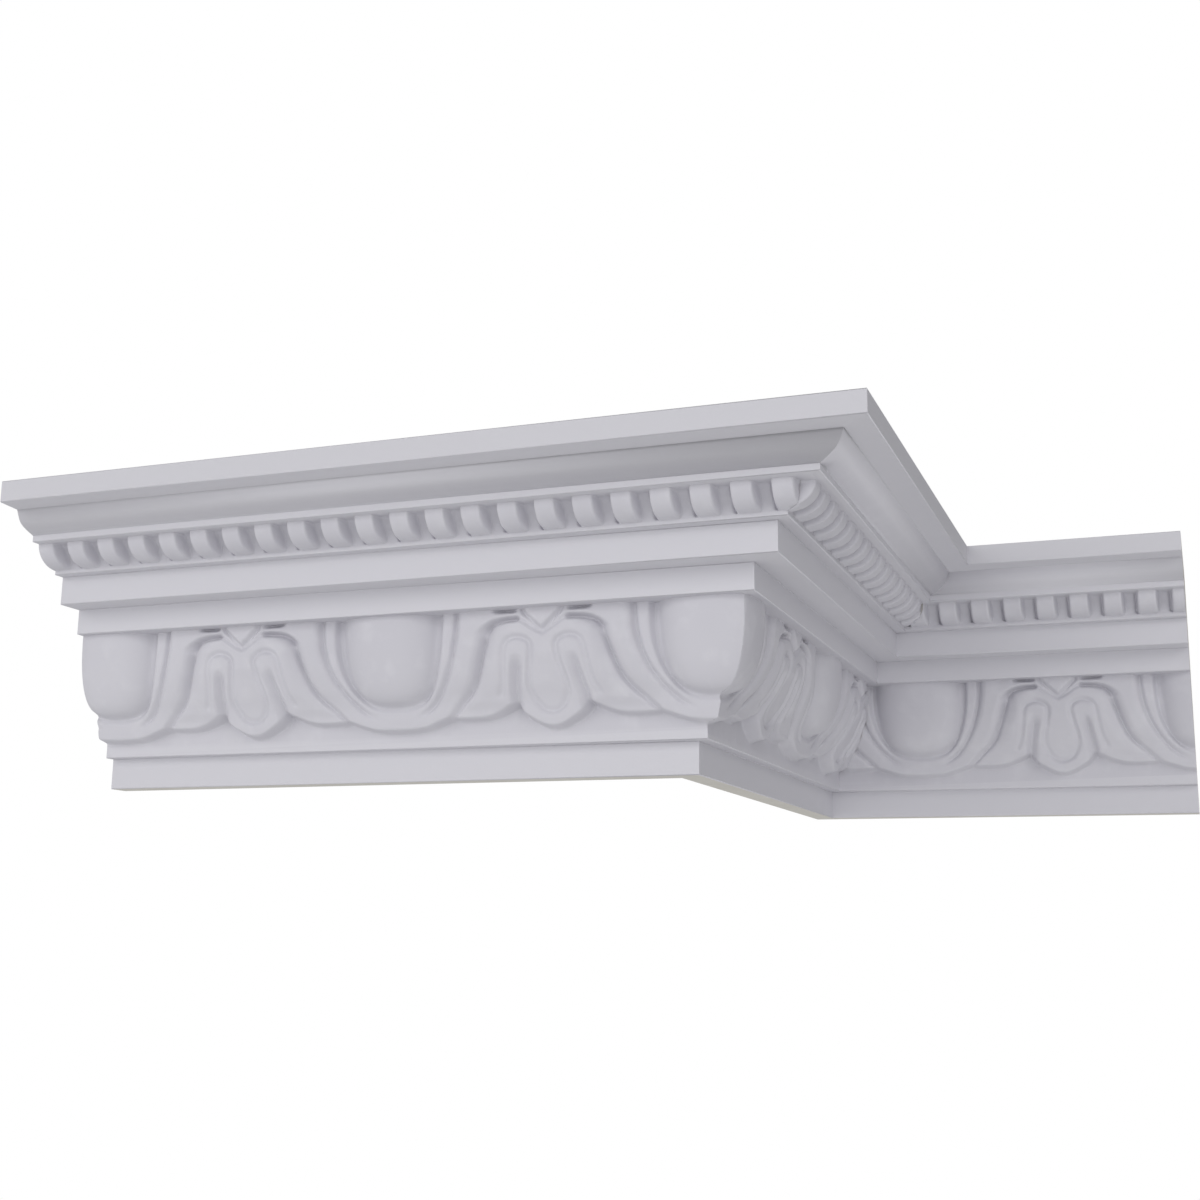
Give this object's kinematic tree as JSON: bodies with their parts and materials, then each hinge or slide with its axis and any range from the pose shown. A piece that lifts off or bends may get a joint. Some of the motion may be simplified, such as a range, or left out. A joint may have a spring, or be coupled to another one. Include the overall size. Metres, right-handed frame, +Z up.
{
  "type": "cornice moulding length",
  "caption": "Cornice moulding mitred round an outer and an inner corner: plain crown, ovolo, row of lugs, two fasciae, egg-and-dart frieze and a foot fascia.",
  "frame": {"origin": "middle of the bounding box, in the plane of the underside", "axes": "+X along the front wall towards the outer corner, +Y into the wall from the front, +Z up to the ceiling"},
  "size_m": [0.7598, 0.5512, 0.2],
  "materials": {
    "front_length_primer": "matte factory primer",
    "return_length_primer": "matte factory primer",
    "back_length_primer": "matte factory primer"
  },
  "bodies": {
    "root": {"front_length": "front_length_primer", "return_length": "return_length_primer", "back_length": "back_length_primer"}
  },
  "joints": []
}
